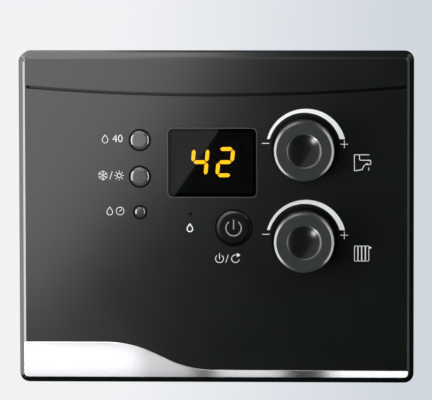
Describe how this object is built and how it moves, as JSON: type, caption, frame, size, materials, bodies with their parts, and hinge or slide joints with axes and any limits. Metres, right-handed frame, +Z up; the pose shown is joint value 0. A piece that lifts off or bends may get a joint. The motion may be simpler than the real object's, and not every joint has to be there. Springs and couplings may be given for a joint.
{
  "type": "boiler control panel",
  "caption": "Flat black control panel of a wall-hung gas boiler: display, turning knobs and push buttons on a moulded front, over a closed box of circuit boards.",
  "frame": {"origin": "middle of the box's rear face, where the panel meets the boiler's chassis", "axes": "+X to the right seen from the front, +Z up, +Y backwards into the boiler; the front looks along -Y"},
  "size_m": [0.267, 0.098, 0.224],
  "materials": {
    "black_moulding": "satin",
    "chrome": "polished",
    "smoked_pane": "polished",
    "gloss_black": "gloss",
    "bezel_grey": "satin",
    "ring_black": "matte",
    "white_scale": "matte",
    "lit_amber": "glowing",
    "unlit_grey": "gloss",
    "button_grey": "metallic gloss",
    "knob_grey": "satin",
    "clear_lens": "gloss",
    "inner_plastic": "matte",
    "housing_grey": "matte",
    "circuit_board": "solder mask",
    "steel": "zinc",
    "brass": "bright",
    "aluminium": "extruded",
    "lamination": "varnished",
    "relay_case": "gloss",
    "terminal_green": "matte",
    "socket_white": "matte",
    "fuse_glass": "clear",
    "cable_grey": "matte",
    "rubber": "matte"
  },
  "bodies": {
    "panel": {"buzzer": "gloss_black", "cable_grommets": "rubber", "capacitors": "aluminium", "chrome_trim": "chrome", "dhw_button_collar": "ring_black", "dhw_dial_scale": "white_scale", "dhw_potentiometer": "inner_plastic", "display_bezel": "bezel_grey", "display_module": "inner_plastic", "display_window": "smoked_pane", "front_board": "circuit_board", "front_board_screws": "steel", "front_gasket": "rubber", "fuse_holder": "inner_plastic", "heat_sink": "aluminium", "heating_dial_scale": "white_scale", "heating_potentiometer": "inner_plastic", "hinge_pins": "steel", "housing_screws": "steel", "ignition_transformer": "gloss_black", "indicator_leds": "socket_white", "indicator_light_pipes": "clear_lens", "lit_segments": "lit_amber", "logic_chips": "gloss_black", "main_board": "circuit_board", "main_board_screws": "steel", "main_fascia": "black_moulding", "mains_fuse": "fuse_glass", "mains_terminal_block": "terminal_green", "mains_transformer": "lamination", "power_button_collar": "ring_black", "pressure_lens": "clear_lens", "pressure_lens_collar": "ring_black", "rear_housing": "housing_grey", "relays": "relay_case", "ribbon_cable": "cable_grey", "ribbon_sockets": "inner_plastic", "season_button_collar": "ring_black", "sensor_sockets": "socket_white", "tact_switches": "inner_plastic", "terminal_cover": "housing_grey", "terminal_cover_screws": "steel", "unlit_segments": "unlit_grey", "upper_fascia": "black_moulding"},
    "dhw_dial": {"dhw_knob": "knob_grey", "dhw_knob_clip": "steel", "dhw_shaft": "brass"},
    "heating_dial": {"heating_knob": "knob_grey", "heating_knob_clip": "steel", "heating_shaft": "brass"},
    "dhw_push": {"dhw_button": "button_grey", "dhw_switch_plunger": "inner_plastic"},
    "season_push": {"season_button": "button_grey", "season_switch_plunger": "inner_plastic"},
    "power_push": {"power_button": "black_moulding", "power_switch_plunger": "inner_plastic"}
  },
  "joints": [
    {"name": "dhw_knob_turn", "type": "hinge", "parent": "panel", "child": "dhw_dial", "pos_m": [0.0599, -0.078, 0.047], "axis": [0, 1, 0], "range_deg": [-135, 135]},
    {"name": "heating_knob_turn", "type": "hinge", "parent": "panel", "child": "heating_dial", "pos_m": [0.0599, -0.078, -0.0146], "axis": [0, 1, 0], "range_deg": [-135, 135]},
    {"name": "dhw_button_press", "type": "slide", "parent": "panel", "child": "dhw_push", "axis": [0, 1, 0], "range_m": [0, 0.0012], "stiffness_N_per_m": 1500, "springref_m": -0.0004},
    {"name": "season_button_press", "type": "slide", "parent": "panel", "child": "season_push", "axis": [0, 1, 0], "range_m": [0, 0.0012], "stiffness_N_per_m": 1500, "springref_m": -0.0004},
    {"name": "power_button_press", "type": "slide", "parent": "panel", "child": "power_push", "axis": [0, 1, 0], "range_m": [0, 0.0012], "stiffness_N_per_m": 1500, "springref_m": -0.0004}
  ]
}
